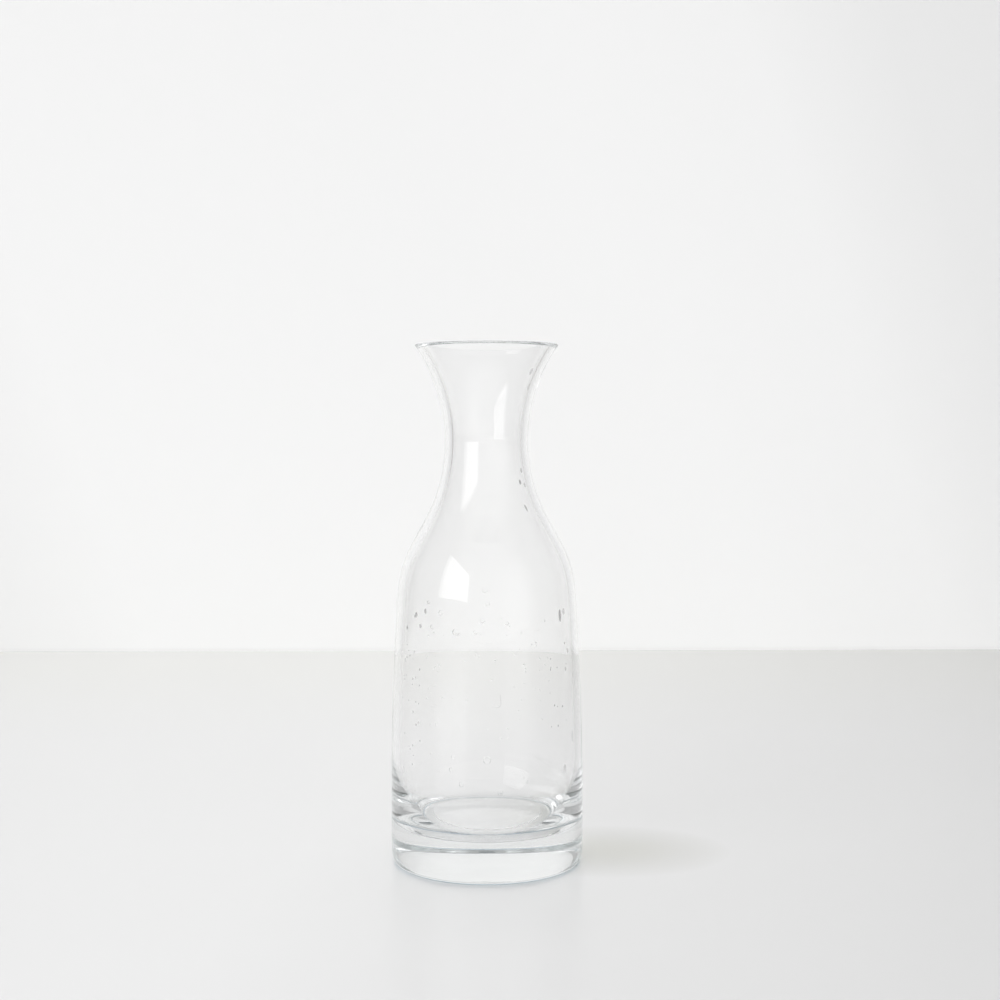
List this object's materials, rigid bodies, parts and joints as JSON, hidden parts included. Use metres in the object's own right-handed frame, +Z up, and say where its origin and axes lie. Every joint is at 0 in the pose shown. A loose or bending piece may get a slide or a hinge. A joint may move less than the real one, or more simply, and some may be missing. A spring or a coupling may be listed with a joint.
{
  "type": "wine decanter",
  "caption": "One-piece clear glass carafe with a heavy round base, sloping shoulders, a narrow waist and a flared open mouth, for serving wine or water.",
  "frame": {"origin": "centre of the flat underside, on the surface that the decanter stands on", "axes": "+Z up along the axis of revolution, towards the mouth; +X and +Y are alike"},
  "size_m": [0.08, 0.08, 0.215],
  "materials": {
    "glass": "clear colourless soda-lime glass, fire-polished, faint blue-green tint in the thick base"
  },
  "bodies": {
    "root": {"decanter_glass": "glass"}
  },
  "joints": []
}
